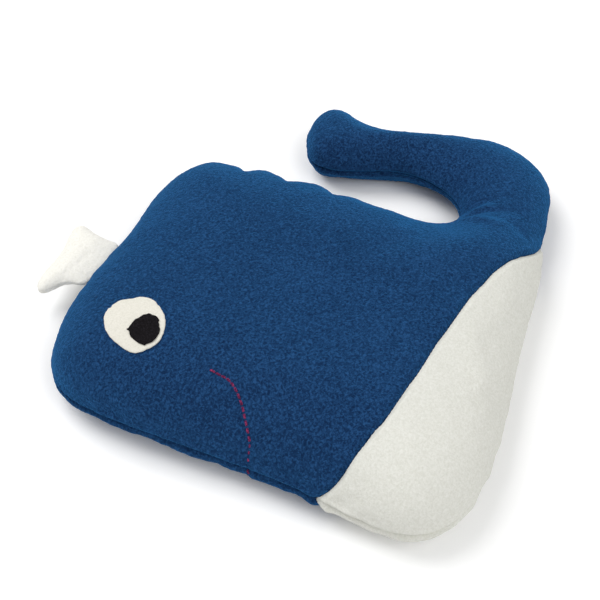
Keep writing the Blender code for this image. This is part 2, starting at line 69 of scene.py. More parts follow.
# The cut of the body and the tail, as it was sewn
BODY_LENGTH = 0.252
BODY_HEIGHT = 0.319
SEAM_HEIGHT = 0.021
BODY_CROWN = 0.0415
BODY_ROUNDING = 0.080
BODY_EDGE_POWER = 2.3
UNDERSIDE_REACH = 0.085
UNDERSIDE_POWER = 0.29
UNDERSIDE_PRESS = 0.0005
TAIL_ROOT_WIDTH = 0.068
TAIL_REACH = 0.092
TAIL_RISE = 0.182
TAIL_CROWN = 0.0215
TAIL_EDGE_POWER = 2
TAIL_UNDER_POWER = 0.78
TAIL_HALF_WIDTHS = (0.018, 0.050)
TAIL_BEGINS = (-0.060, 0.030)
TAIL_ENDS_ASIDE = (0.045, 0.080)
BACK_ROOM = 0.002
TAIL_ROOT_SHARES = (0.599, -0.277)
TAIL_TILT = math.radians(13.5)
CROTCH_SHARES = (0.597, -0.194)
BODY_OUTLINE_SHARES = (
    (0.530, -0.108), (0.525, 0.080), (0.500, 0.250), (0.474, 0.370), (0.408, 0.472),
    (0.250, 0.496), (0.060, 0.478), (-0.140, 0.481), (-0.318, 0.454), (-0.470, 0.390),
    (-0.500, 0.262), (-0.482, 0.120), (-0.454, -0.040), (-0.439, -0.180),
    (-0.450, -0.315), (-0.438, -0.440), (-0.305, -0.512), (-0.100, -0.506),
    (0.130, -0.467), (0.340, -0.434), (0.492, -0.420),
)
TAIL_INNER_SHARES = (
    (0.155, 0.192), (0.265, 0.245), (0.337, 0.337), (0.376, 0.446), (0.322, 0.561),
    (0.165, 0.689), (0.055, 0.829), (0.130, 0.919),
)
TAIL_OUTER_SHARES = (
    (0.45, -0.150), (0.88, -0.070), (1.08, 0.160), (0.985, 0.358), (0.755, 0.582),
    (0.690, 0.744), (0.812, 0.879), (0.727, 0.993), (0.417, 0.996),
)
BELLY_SEAM_SHARES = (
    (-0.600, -0.230), (-0.4345, -0.2540), (-0.384, -0.270), (-0.262, -0.297),
    (-0.091, -0.310), (0.091, -0.314), (0.313, -0.331), (0.460, -0.357),
    (0.530, -0.369), (0.585, -0.380), (0.640, -0.388),
)

# Cloth and stuffing
CLOTH = 0.0016
FILLING_INSET = 0.0048
FOLD_ROOM = 1.4
SPACING = 0.0056
ROW_ARCS = [arc * MM for arc in (0, 1.7, 4.0, 7.0, 10.8, 15.2, 20.4)]
SEAM_END_ROOM = 0.5
CLEAR_OF_RIM = 0.62
CLEAR_OF_SEAM = 0.55
EASED_POINTS = 6
SPLIT_OFFSET = -0.003
SPLIT_SHARE = 0.62
FOLD_REACH = 0.045
FOLD_STEP = 0.004
FOLD_FADES = 0.45
SNOUT_SHARES = (-0.49, 0.17)
SNOUT_LIFT = 0.003
SNOUT_REACH = 0.055
SEAM_LEANS = ((0.0135, 0.6), (0.0285, 0.9))
LEAN_REACH = 0.045

# How the fleece gives while it is stuffed, and how much of its puckers stays
FLEECE_WEAR = {
    "quality": 7, "mass": 0.3, "tension_stiffness": 12, "compression_stiffness": 12,
    "shear_stiffness": 4, "bending_stiffness": 1.2, "use_pressure": True,
    "uniform_pressure_force": 4, "shrink_min": -0.03, "vertex_group_mass": "seam",
}
STUFFING_STEPS = 20
PUCKER_ROUNDS = 40
PUCKER_SHARE = 0.4
PUCKER_LIMIT = 0.0015

# The sunk seams, the lips of cloth beside them and the pile
SEAM_ROUNDS = 6
GROOVE = 0.0023
BELLY_GROOVE = 0.9 * GROOVE
GROOVE_REACH = 0.0018
LIP = 0.0006
BELLY_LIP = 0.3 * LIP
LIP_PLACE = 0.0036
LIP_REACH = 0.0018
UNDER_LIP = 0.0017
UNDER_LIP_PLACE = 0.0046
UNDER_LIP_REACH = 0.0026
UNDER_LIP_SNOUT = (-0.105, -0.010)
UNDER_LIP_BELLY = 0.012
UNDER_LIP_HEAD = (0.05, 0.22)
UNEVEN_GRAIN = 1 / 70
PILE = 0.0003
PILE_GRAIN = 0.0026

# The spout, in shares of its width and length from the middle of its root
SPOUT_WIDTH = 0.068
SPOUT_LENGTH = 0.042
SPOUT_RISE = 0.0064
SPOUT_ROUNDING = 0.013
SPOUT_EDGE_POWER = 2.2
SPOUT_ROWS = [inset * MM for inset in (0, 0.25, 0.9, 2.0)]
SPOUT_SPACING = 0.0026
SPOUT_CLOTH = 0.0012
SPOUT_FLAT_ROOT = 0.55
SPOUT_FULL_AT = 0.016
SPOUT_FOLD = ((-0.45, 0.30), (0.0, 0.22))
SPOUT_FOLD_DEPTH = 0.0006
SPOUT_FOLD_WIDTH = 0.003
SPOUT_LEAST = 0.0004
SPOUT_FILLING_INSET = 0.0015
SPOUT_GROOVE = 0.0007
SPOUT_GROOVE_REACH = 0.0012
SPOUT_PILE = 0.00018
SPOUT_PILE_GRAIN = 0.0024
SPOUT_OUTLINE_SHARES = (
    (0.327, -0.17), (0.306, 0.16), (0.305, 0.433), (0.341, 0.610), (0.356, 0.720),
    (0.340, 0.822), (0.275, 0.885), (0.135, 0.848), (-0.022, 0.750), (-0.149, 0.706),
    (-0.318, 0.700), (-0.490, 0.690), (-0.625, 0.630), (-0.680, 0.520), (-0.635, 0.405),
    (-0.535, 0.325), (-0.451, 0.240), (-0.399, 0.115), (-0.362, -0.17),
)

# The face, in shares of the body's length and height. The patches were cut by hand
EYE_CUT_SHARES = (
    (-0.204, 0.275), (-0.199, 0.260), (-0.203, 0.243), (-0.215, 0.224), (-0.228, 0.209),
    (-0.244, 0.197), (-0.261, 0.189), (-0.280, 0.184), (-0.299, 0.182), (-0.317, 0.184),
    (-0.334, 0.192), (-0.347, 0.201), (-0.359, 0.211), (-0.362, 0.223), (-0.362, 0.234),
    (-0.360, 0.247), (-0.355, 0.265), (-0.348, 0.281), (-0.337, 0.297), (-0.322, 0.310),
    (-0.303, 0.321), (-0.285, 0.326), (-0.269, 0.3266), (-0.268, 0.3216), (-0.2585, 0.324),
    (-0.244, 0.319), (-0.230, 0.309), (-0.2195, 0.292), (-0.207, 0.282),
)
PUPIL_CUT_SHARES = (
    (-0.247, 0.2375), (-0.2466, 0.228), (-0.2457, 0.220), (-0.2487, 0.212), (-0.2547, 0.206),
    (-0.2608, 0.208), (-0.2635, 0.201), (-0.2689, 0.2005), (-0.2735, 0.195), (-0.287, 0.190),
    (-0.302, 0.189), (-0.316, 0.192), (-0.324, 0.197), (-0.334, 0.202), (-0.3334, 0.209),
    (-0.3335, 0.221), (-0.330, 0.234), (-0.323, 0.246), (-0.3144, 0.2515), (-0.3128, 0.2586),
    (-0.3092, 0.2557), (-0.3025, 0.255), (-0.289, 0.254), (-0.277, 0.2544), (-0.269, 0.2495),
    (-0.256, 0.245),
)
PATCH_GAP = 0.0003
PATCH_STEP = 0.0011
PATCH_SPACING = 0.0013
RAGGED = 0.00035
RAGGED_GRAIN = 0.0021
PRESSED = 0.4
PRESSED_REACH = 0.0007
EYE_CLOTH = 0.0012
PUPIL_CLOTH = 0.001
EYE_ROOM = 0.003
EYE_ROOM_FADES = (0.001, 0.012)
MOUTH_SHARES = (
    (-0.314, 0.059), (-0.3145, 0.043), (-0.315, 0.031), (-0.315, 0.020), (-0.321, 0.0055),
    (-0.3276, -0.0032), (-0.3345, -0.0134), (-0.342, -0.0211), (-0.353, -0.032),
    (-0.365, -0.041), (-0.376, -0.049), (-0.3875, -0.058), (-0.399, -0.066),
    (-0.408, -0.0727), (-0.4136, -0.0766),
)
MOUTH_TAIL_SHARES = (
    (-0.4136, -0.0766), (-0.427, -0.0796), (-0.438, -0.083), (-0.449, -0.085),
    (-0.4575, -0.086), (-0.464, -0.0865),
)
MOUTH_STEP = 0.0005
MOUTH_STITCH = 0.004
MOUTH_STITCH_SHARE = 0.92
MOUTH_THREAD = 0.00082
MOUTH_RISE = 0.0009
MOUTH_LIFT = 0.00005
SUNK_STITCH = 0.0029
SUNK_SCALE = 0.72
SUNK_DEPTH = 0.0002
STRAND_SHARE = 0.42
SEAM_STITCH = 0.0034
SEAM_STITCH_SHARE = 0.9
SEAM_THREAD = 0.0005
SEAM_RISE = 0.0004

# Folds and scallops: depth and width in millimetres, sides, places in body shares
FOLDS = (
    (3.2, 5.5, "both", ((0.500, 0.334), (0.430, 0.322), (0.365, 0.307))),
    (3.2, 5.5, "both", ((0.530, 0.223), (0.460, 0.212), (0.389, 0.201))),
    (3.0, 6.0, "both", ((0.542, 0.100), (0.470, 0.093), (0.409, 0.085))),
    (-1.6, 9, "both", ((0.468, 0.436), (0.365, 0.376))),
    (-1.4, 8, "both", ((0.520, 0.292), (0.413, 0.263))),
    (-1.2, 9, "both", ((0.540, 0.157), (0.429, 0.141))),
    (1.3, 4.0, "left", ((0.631, -0.196), (0.664, -0.221), (0.687, -0.245))),
    (-2.1, 5.0, "left", ((0.601, -0.187), (0.613, -0.213), (0.636, -0.235), (0.657, -0.260))),
    (1.7, 3.0, "left", ((0.571, -0.202), (0.606, -0.227), (0.634, -0.267), (0.659, -0.297))),
    (-2.2, 5.4, "left", ((0.568, -0.200), (0.568, -0.233), (0.561, -0.275), (0.579, -0.315))),
)
MOUTH_PULL = 0.8
MOUTH_PULL_WIDTH = 2.2


def main():
    form = whale_form()
    whale = sewn_whale(form)
    stuff(whale)
    form["belly_lines"] = [spots_of(whale.data)[path] for path in form["belly_paths"]]
    fillings(whale)
    subdivide(whale, 2)
    finish_surface(whale, form)
    panels(whale)
    tree = BVHTree.FromObject(whale, bpy.context.evaluated_depsgraph_get())
    eyes(tree)
    mouths(tree)
    edge_threads(form)
    belly_threads(form)
    bpy.data.objects.remove(whale)
    spout()
    camera()
    lamps()
    backdrop()


# Small tools for points in plan

def joint_named(name):
    return next(joint for joint in frame["joints"] if joint["name"] == name)


SHIFT = np.array(joint_named("tail_bend")["pos_m"][:2]) - np.array(
    [TAIL_ROOT_SHARES[0] * BODY_LENGTH, TAIL_ROOT_SHARES[1] * BODY_HEIGHT]
)


def body_point(share):
    """A place in plan from its shares of the body's length and height."""
    return np.array([share[0] * BODY_LENGTH, share[1] * BODY_HEIGHT]) + SHIFT


def body_points(shares):
    return np.array([body_point(share) for share in shares])


def hinge_frame():
    """The middle of the tail's root, the way along its fold and the way out."""
    along = np.array([-math.sin(TAIL_TILT), math.cos(TAIL_TILT)])
    out = np.array([math.cos(TAIL_TILT), math.sin(TAIL_TILT)])
    return body_point(TAIL_ROOT_SHARES), along, out


def smooth_closed(points, spacing):
    """A closed outline rounded as cut cloth is, with points at an even spacing."""
    points = np.array(points)
    before, after = np.roll(points, 1, 0), np.roll(points, -1, 0)
    rounded = (before + 6 * points + after) / 8
    middles = (points + after) / 2
    ring = np.stack([rounded, middles], 1).reshape(-1, 2)
    dense = catmull(np.concatenate([ring[-1:], ring, ring[:2]]))
    return even(np.concatenate([dense, dense[:1]]), spacing)[:-1]


def catmull(points, steps=12):
    """Points on a smooth curve through all but the first and the last point."""
    found = []
    for a, b, c, d in zip(points, points[1:], points[2:], points[3:]):
        for step in range(steps):
            t = step / steps
            bend = (2 * a - 5 * b + 4 * c - d) * t * t + (3 * b - a - 3 * c + d) * t ** 3
            found.append(b + ((c - a) * t + bend) / 2)
    return np.array(found)


def open_curve(points, spacing):
    points = np.array(points)
    first, last = 2 * points[0] - points[1], 2 * points[-1] - points[-2]
    dense = catmull(np.concatenate([[first], points, [last]]))
    return even(np.concatenate([dense, points[-1:]]), spacing)


def even(line, spacing):
    """The line again with its points at an even spacing near the one given."""
    steps = np.linalg.norm(np.diff(line, axis=0), axis=1)
    along = np.concatenate([[0], np.cumsum(steps)])
    count = max(2, round(along[-1] / spacing)) + 1
    places = np.linspace(0, along[-1], count)
    return np.stack([np.interp(places, along, line[:, axis]) for axis in range(line.shape[1])], 1)


def gap_and_place(points, line):
    """Each point's distance to a line in plan, and how far along the line it is nearest."""
    nearest, place = np.full(len(points), 1e9), np.zeros(len(points))
    for step, (a, b) in enumerate(zip(line, line[1:])):
        span = b - a
        t = np.clip(((points - a) @ span) / max(span @ span, 1e-12), 0, 1)
        gap = np.linalg.norm(points - (a + t[:, None] * span), axis=1)
        place = np.where(gap < nearest, (step + t) / (len(line) - 1), place)
        nearest = np.minimum(nearest, gap)
    return nearest, place


def gap_to_line(points, line, closed=False):
    return gap_and_place(points, np.concatenate([line, line[:1]]) if closed else line)[0]


def inside(points, polygon):
    """Whether each point lies inside a closed polygon."""
    hit = np.zeros(len(points), bool)
    x, y = points[:, 0], points[:, 1]
    for (ax, ay), (bx, by) in zip(polygon, np.roll(polygon, -1, 0)):
        crosses = (ay > y) != (by > y)
        with np.errstate(divide="ignore", invalid="ignore"):
            at = (bx - ax) * (y - ay) / (by - ay) + ax
        hit ^= crosses & (x < at)
    return hit


def ease(value, low, high):
    """Goes smoothly from 0 at low to 1 at high."""
    t = np.clip((value - low) / (high - low), 0, 1)
    return t * t * (3 - 2 * t)


def fade(value, low, high, least):
    """Goes smoothly from 1 at low to the least share at high."""
    return 1 - (1 - least) * ease(value, low, high)


def bell(distance, width):
    return np.exp(-(distance / width) ** 2)


def grain(spots, size):
    """Soft noise at each spot, in lumps of about the size given."""
    return np.array([noise.noise(Vector(spot) / size) for spot in spots])


def unit(ways):
    return ways / np.maximum(np.linalg.norm(ways, axis=-1, keepdims=True), 1e-12)


# Small tools for meshes

def nothing_selected():
    bpy.ops.object.select_all(action="DESELECT")


def only(thing):
    nothing_selected()
    thing.select_set(True)
    bpy.context.view_layer.objects.active = thing


def new_object(name, spots, faces):
    mesh = bpy.data.meshes.new(name)
    mesh.from_pydata([tuple(spot) for spot in spots], [], [list(face) for face in faces])
    thing = bpy.data.objects.new(name, mesh)
    bpy.context.scene.collection.objects.link(thing)
    return thing


def outward(thing):
    """Turns a closed mesh's faces outwards."""
    mesh = bmesh.new()
    mesh.from_mesh(thing.data)
    bmesh.ops.recalc_face_normals(mesh, faces=mesh.faces)
    mesh.to_mesh(thing.data)
    mesh.free()
    return thing


def spots_of(mesh):
    spots = np.zeros(len(mesh.vertices) * 3, np.float32)
    mesh.vertices.foreach_get("co", spots)
    return spots.reshape(-1, 3).astype(float)


def normals_of(mesh):
    normals = np.zeros(len(mesh.vertices) * 3, np.float32)
    mesh.vertex_normals.foreach_get("vector", normals)
    return normals.reshape(-1, 3).astype(float)


def put_spots(mesh, spots):
    mesh.vertices.foreach_set("co", spots.astype(np.float32).ravel())
    mesh.update()


def pairs_of(mesh):
    pairs = np.zeros(len(mesh.edges) * 2, np.int32)
    mesh.edges.foreach_get("vertices", pairs)
    return pairs.reshape(-1, 2)


def marks_of(mesh):
    """The cloth that each face belongs to."""
    marks = np.zeros(len(mesh.polygons), np.int32)
    mesh.attributes["panel"].data.foreach_get("value", marks)
    return marks


def tree_of(points):
    tree = KDTree(len(points))
    for index, point in enumerate(points):
        tree.insert(point, index)
    tree.balance()
    return tree


def near(spots, targets):
    """Each spot's distance to the nearest of some targets."""
    tree = tree_of(targets)
    return np.array([tree.find(spot)[2] for spot in spots])


def close_to(points, line, reach):
    """Whether each point lies in the box round a line, with some room about it."""
    return ((points > line.min(0) - reach) & (points < line.max(0) + reach)).all(1)


def spread(values, pairs, rounds):
    """Values on the mesh's points, evened out with those of their neighbours."""
    both = np.concatenate([pairs, pairs[:, ::-1]])
    both = both[np.argsort(both[:, 0], kind="stable")]
    starts = np.searchsorted(both[:, 0], np.arange(len(values)))
    count = np.bincount(both[:, 0], minlength=len(values))[:, None]
    for _ in range(rounds):
        values = np.add.reduceat(values[both[:, 1]], starts, axis=0) / count
    return values


def apply_modifiers(thing):
    only(thing)
    for modifier in list(thing.modifiers):
        bpy.ops.object.modifier_apply(modifier=modifier.name)


def subdivide(thing, levels):
    smooth = thing.modifiers.new("Subdivision", "SUBSURF")
    smooth.levels = smooth.render_levels = levels
    apply_modifiers(thing)


def thicken(thing, thickness, offset=-1):
    wall = thing.modifiers.new("Solidify", "SOLIDIFY")
    wall.thickness = thickness
    wall.offset = offset
    apply_modifiers(thing)


def shade(thing, angle=60):
    only(thing)
    bpy.ops.object.shade_smooth_by_angle(angle=math.radians(angle))


def dress(thing, material, slot, *nodes):
    """Gives a piece its material and hides the nodes of the model that it stands for."""
    thing.data.materials.clear()
    thing.data.materials.append(material)
    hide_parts(*nodes)
    return thing


def follow(thing, tail):
    """A piece of the tail only has its place baked into its mesh, and all else is attached to the
    body.
    """
    if not tail:
        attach(thing, "body")
        return
    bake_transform(thing)


# The form of the stuffed body and tail

def whale_form():
    """The outline, the seams in plan and what the height of the cloth depends on."""
    middle, along, out = hinge_frame()
    half = along * TAIL_ROOT_WIDTH / 2
    reach = np.array([TAIL_REACH, TAIL_RISE])
    inner = [body_point(CROTCH_SHARES)]
    inner += [middle + reach * np.array(share) for share in TAIL_INNER_SHARES]
    outer = [middle - half] + [middle + reach * np.array(share) for share in TAIL_OUTER_SHARES]
    body = list(body_points(BODY_OUTLINE_SHARES))
    return {
        "outline": smooth_closed(body + outer + inner[::-1], SPACING),
        "seam": open_curve(body_points(BELLY_SEAM_SHARES), SPACING),
        "middle": middle, "along": along, "out": out,
        "inner": np.array(inner), "outer": np.array(outer),
        "back": (middle + half)[0] - BACK_ROOM,
    }


def tail_share(points, form):
    """How far each point belongs to the tail's slimmer form, from 0 to 1."""
    from_hinge = (points - form["middle"]) @ form["out"]
    sideways = np.abs((points - form["middle"]) @ form["along"])
    near_hinge = ease(from_hinge, *TAIL_BEGINS)
    mask = 1 - ease(sideways, *TAIL_ENDS_ASIDE)
    mask = np.where((points[:, 0] > form["back"]) & (from_hinge > 0), 1, mask)
    return near_hinge * mask


def heights(points, gap, form):
    """The height of the cloth's upper and lower side over each point of the plan."""
    share = tail_share(points, form)
    tail_half = (gap_to_line(points, form["inner"]) + gap_to_line(points, form["outer"])) / 2
    tail_half = np.clip(tail_half, *TAIL_HALF_WIDTHS)
    reach = BODY_ROUNDING * (1 - share) + tail_half * share
    power = BODY_EDGE_POWER * (1 - share) + TAIL_EDGE_POWER * share
    crown = BODY_CROWN * (1 - share) + TAIL_CROWN * share
    t = np.clip(gap / reach, 0, 1)
    rise = crown * np.sqrt(1 - (1 - t) ** power)
    deep = SEAM_HEIGHT + UNDERSIDE_PRESS
    drop_body = deep * np.clip(gap / UNDERSIDE_REACH, 0, 1) ** UNDERSIDE_POWER
    drop_tail = deep * (1 - (1 - t) ** 2) ** TAIL_UNDER_POWER
    drop = drop_body * (1 - share) + drop_tail * share
    snout = np.linalg.norm(points - body_point(SNOUT_SHARES), axis=1)
    lift = SNOUT_LIFT * bell(snout, SNOUT_REACH) * (1 - t) ** 2
    return SEAM_HEIGHT + lift + rise, np.maximum(SEAM_HEIGHT + lift - drop, FLOOR_GAP)


def row_insets():
    """How far in from the outline each row of the rim lies, for its arc up the side."""
    gaps = np.concatenate([[0], np.geomspace(MM / 1000, BODY_ROUNDING, 4000)])
    rise = BODY_CROWN * np.sqrt(1 - (1 - gaps / BODY_ROUNDING) ** BODY_EDGE_POWER)
    arc = np.concatenate([[0], np.cumsum(np.hypot(np.diff(gaps), np.diff(rise)))])
    return np.interp(ROW_ARCS, arc, gaps)


# The sewn whale as one mesh

def sewn_whale(form):
    """Both sides of the whale in one closed mesh, with its seams along edges."""
    outline = form["outline"]
    inward = inward_of(outline)
    rows = [outline + inward * inset for inset in row_insets()]
    rows = leaning_rows(outline, rows, form["seam"])
    seam_line, seam_ends = seam_in_rows(form["seam"], rows)
    split_line, split_ends = seam_in_rows(tail_fold(form), rows)
    border = rows[-1]
    sheet, triangles, chains = sheet_points(
        border, (seam_line, split_line), (seam_ends, split_ends), SPACING
    )
    belly_columns = arc_of(seam_ends, len(border), int(np.argmin(border[:, 1])))
    tail_columns = arc_of(split_ends, len(border), int(np.argmax(border[:, 0])))
    rim = rim_marks(rows, belly_columns, tail_columns, form)
    form["tail_columns"] = np.flatnonzero(rim[0] == TAIL)
    belly = np.concatenate([seam_line, border[belly_columns[::-1][1:-1]]])
    tail = np.concatenate([split_line, border[tail_columns[::-1][1:-1]]])
    centres = np.array([sheet[list(face)].mean(0) for face in triangles])
    marks = np.where(inside(centres, tail), TAIL, np.where(inside(centres, belly), BELLY, BODY))
    plan, faces = rim_and_sheet(rows, sheet, triangles)
    gap = gap_from_edge(plan, outline)
    high, low = heights(plan, gap, form)
    marks = [*rim.ravel(), *marks]
    whale, under = two_sided("whale", plan, high, low, faces, marks, len(outline))
    count, levels = len(outline), len(rows) - 1
    start, stop = ([level * count + end for level in range(levels)] for end in seam_ends)
    path = np.array(start + [levels * count + corner for corner in chains[0]] + stop[::-1])
    form["belly_paths"] = (path, under[path])
    return whale


def tail_fold(form):
    """The line in plan where the tail's cloth is parted from the body's."""
    middle = form["middle"] + form["out"] * SPLIT_OFFSET
    half = form["along"] * TAIL_ROOT_WIDTH * SPLIT_SHARE
    return even(np.array([middle + half, middle - half]), SPACING)


def gap_from_edge(plan, outline):
    """How far in from the outline each point of the plan is; the first ones are on it."""
    gap = gap_to_line(plan, outline, True)
    gap[:len(outline)] = 0
    return gap


def rim_and_sheet(rows, sheet, triangles):
    """The points in plan of the rim's rows and the sheet inside them, and all their faces."""
    count, levels = len(rows[0]), len(rows) - 1
    faces = [
        [level * count + column, level * count + (column + 1) % count,
         (level + 1) * count + (column + 1) % count, (level + 1) * count + column]
        for level in range(levels) for column in range(count)
    ]
    faces += [[levels * count + corner for corner in face] for face in triangles]
    return np.concatenate(rows[:-1] + [sheet]), faces


def two_sided(name, plan, high, low, faces, marks, edge):
    """A closed mesh of an upper and a lower side that share the points of the edge."""
    spots = np.concatenate([np.column_stack([plan, high]), np.column_stack([plan, low])[edge:]])
    under = np.concatenate([np.arange(edge), np.arange(edge, len(plan)) + len(plan) - edge])
    both = faces + [[int(under[corner]) for corner in face[::-1]] for face in faces]
    thing = new_object(name, spots, both)
    thing.data.attributes.new("panel", "INT", "FACE").data.foreach_set(
        "value", [int(mark) for mark in marks] + [int(mark) + UNDER for mark in marks]
    )
    return outward(thing), under


def rim_marks(rows, belly_columns, tail_columns, form):
    """The cloth of each face of the rim, with the tail's begun at its fold in every row."""
    count = len(rows[0])
    marks = np.full((len(rows) - 1, count), BODY)
    for column in range(count):
        pair = {column, (column + 1) % count}
        if pair <= set(tail_columns):
            marks[:, column] = TAIL
        elif pair <= set(belly_columns):
            marks[:, column] = BELLY
    for mark, outer, inner in zip(marks, rows, rows[1:]):
        corners = [outer, np.roll(outer, -1, 0), inner, np.roll(inner, -1, 0)]
        apart = sum(corners) / 4 - form["middle"]
        beyond = apart @ form["out"] > SPLIT_OFFSET
        close = np.abs(apart @ form["along"]) < FOLD_REACH
        mark[(mark == BODY) & close & beyond] = TAIL
        mark[(mark == TAIL) & close & ~beyond] = BODY
    return marks


def leaning_rows(outline, rows, seam):
    """The rim's rows, slanted where the belly's seam runs over the edge at a slant."""
    ends, count = seam_in_rows(seam, rows)[1], len(outline)
    belly = arc_of(ends, count, int(np.argmin(outline[:, 1])))
    step = 1 if belly[1] == (belly[0] + 1) % count else -1
    way = unit(np.roll(outline, -1, 0) - np.roll(outline, 1, 0))
    for end, side, (lean, power) in zip(ends, (step, -step), SEAM_LEANS):
        centre = end - side * round(lean / SPACING)
        apart = (np.arange(count) - centre + count // 2) % count - count // 2
        shift = way * side * lean * bell(apart * SPACING, LEAN_REACH)[:, None]
        rows = [row + shift * (arc / ROW_ARCS[-1]) ** power for row, arc in zip(rows, ROW_ARCS)]
    return rows


def inward_of(outline):
    """The way in from each point of a closed outline."""
    tangent = np.roll(outline, -1, 0) - np.roll(outline, 1, 0)
    inward = unit(np.stack([tangent[:, 1], -tangent[:, 0]], 1))
    return inward if inside((outline + inward * MM / 2)[:1], outline)[0] else -inward


def seam_in_rows(line, rows):
    """A seam cut to lie inside the rim's rows, and the two columns that it joins."""
    last = rows[-1]
    clear = gap_to_line(line, last, True) > SPACING * SEAM_END_ROOM
    kept = line[inside(line, last) & clear]
    ends = [int(np.argmin(np.linalg.norm(last - kept[end], axis=1))) for end in (0, -1)]
    for end, step in zip((0, -1), (1, -1)):
        astray = last[ends[end]] - (2 * kept[end] - kept[end + step])
        for place in range(min(EASED_POINTS, len(kept) // 2)):
            share = 1 - (place + 1) / (EASED_POINTS + 1)
            kept[end + step * place] += astray * share ** 2
    return np.concatenate([last[ends[:1]], kept, last[ends[1:]]]), ends


def sheet_points(border, lines, ends, spacing):
    """A flat sheet of triangles inside the border, with the seams along its edges."""
    count = len(border)
    points = [tuple(point) for point in border]
    edges, chains = [], []
    for line, (start, stop) in zip(lines, ends):
        first = len(points)
        points += [tuple(point) for point in line[1:-1]]
        chain = [start, *range(first, len(points)), stop]
        chains.append(chain)
        edges += list(zip(chain, chain[1:]))
    low, high = border.min(0), border.max(0)
    row_step = spacing * math.sqrt(3) / 2
    grid = []
    for row in range(int((high[1] - low[1]) / row_step) + 1):
        xs = np.arange(low[0] + (row % 2) * spacing / 2, high[0], spacing)
        grid.append(np.stack([xs, np.full(len(xs), low[1] + row * row_step)], 1))
    grid = np.concatenate(grid)
    clear = inside(grid, border) & (gap_to_line(grid, border, True) > spacing * CLEAR_OF_RIM)
    for line in lines:
        clear &= gap_to_line(grid, line) > spacing * CLEAR_OF_SEAM
    points += [tuple(point) for point in grid[clear]]
    made = geometry.delaunay_2d_cdt(
        [Vector(point) for point in points], edges, [list(range(count))], 1, 1e-7
    )
    if len(made[0]) != len(points):
        raise RuntimeError("the seams cross the rim of the sheet")
    back = [sources[0] for sources in made[3]]
    faces = [[back[corner] for corner in face] for face in made[2]]
    return np.array(points), faces, chains


def arc_of(ends, count, through):
    """The run of columns between two, the way round that holds a third."""
    first, last = ends
    forward = [(first + step) % count for step in range((last - first) % count + 1)]
    if through in forward:
        return forward
    return [(first - step) % count for step in range((first - last) % count + 1)]


def stuff(whale):
    """Presses the cloth out from inside as stuffing does, and keeps the puckers it makes."""
    mesh = whale.data
    start, pairs = spots_of(mesh), pairs_of(mesh)
    held = whale.vertex_groups.new(name="seam")
    held.add([int(corner) for corner in np.unique(seam_pairs(mesh)[0])], 1, "REPLACE")
    cloth = whale.modifiers.new("Cloth", "CLOTH")
    for name, value in FLEECE_WEAR.items():
        setattr(cloth.settings, name, value)
    cloth.settings.effector_weights.gravity = 0
    cloth.collision_settings.use_collision = False
    cloth.point_cache.frame_start, cloth.point_cache.frame_end = 1, STUFFING_STEPS
    for step in range(1, STUFFING_STEPS + 1):
        bpy.context.scene.frame_set(step)
    worn = whale.evaluated_get(bpy.context.evaluated_depsgraph_get())
    pressed = spots_of(worn.to_mesh())
    worn.to_mesh_clear()
    whale.modifiers.remove(cloth)
    bpy.context.scene.frame_set(1)
    move = pressed - start
    move = PUCKER_SHARE * (move - spread(move, pairs, PUCKER_ROUNDS))
    size = np.linalg.norm(move, axis=1)[:, None]
    move *= np.minimum(1, PUCKER_LIMIT / np.maximum(size, 1e-9))
    spots = start + move
    spots[:, 2] = np.maximum(spots[:, 2], FLOOR_GAP)
    put_spots(mesh, spots)


def seam_pairs(mesh):
    """The edges that make up the seam round the whale, and those of the belly's seams."""
    edge_of = np.zeros(len(mesh.loops), np.int32)
    mesh.loops.foreach_get("edge_index", edge_of)
    sizes = np.zeros(len(mesh.polygons), np.int32)
    mesh.polygons.foreach_get("loop_total", sizes)
    mark_of = np.repeat(marks_of(mesh), sizes)
    most = np.zeros(len(mesh.edges), np.int32)
    least = np.full(len(mesh.edges), 2 * UNDER, np.int32)
    np.maximum.at(most, edge_of, mark_of)
    np.minimum.at(least, edge_of, mark_of)
    above, below = most < UNDER, least >= UNDER
    left = ((most == BELLY) | (least == BELLY)) & above
    right = ((most == BELLY + UNDER) | (least == BELLY + UNDER)) & below
    pairs = pairs_of(mesh)
    return pairs[~above & ~below], pairs[(most != least) & (left | right)]


def evened(spots, chain, rounds):
    """A line of points with each drawn towards its neighbours on the line."""
    spots = spots.copy()
    count = np.zeros(len(spots))
    np.add.at(count, chain.ravel(), 1)
    inner = count == 2
    for _ in range(rounds):
        total = np.zeros_like(spots)
        np.add.at(total, chain[:, 0], spots[chain[:, 1]])
        np.add.at(total, chain[:, 1], spots[chain[:, 0]])
        spots[inner] = spots[inner] / 2 + total[inner] / 4
    return spots


def fold_depths(spots, room):
    """How deep the folds press in at each point, for folds so many times as wide."""
    depths, upper = np.zeros(len(spots)), spots[:, 2] > SEAM_HEIGHT
    for depth, width, side, shares in FOLDS:
        line, width = open_curve(body_points(shares), FOLD_STEP), width * room * MM
        close = np.flatnonzero(close_to(spots[:, :2], line, 3 * width))
        gap, place = gap_and_place(spots[close, :2], line)
        pressed = upper[close] if side == "left" else 1
        depths[close] += depth * MM * bell(gap, width) * (1 - ease(place, FOLD_FADES, 1)) * pressed
    return depths


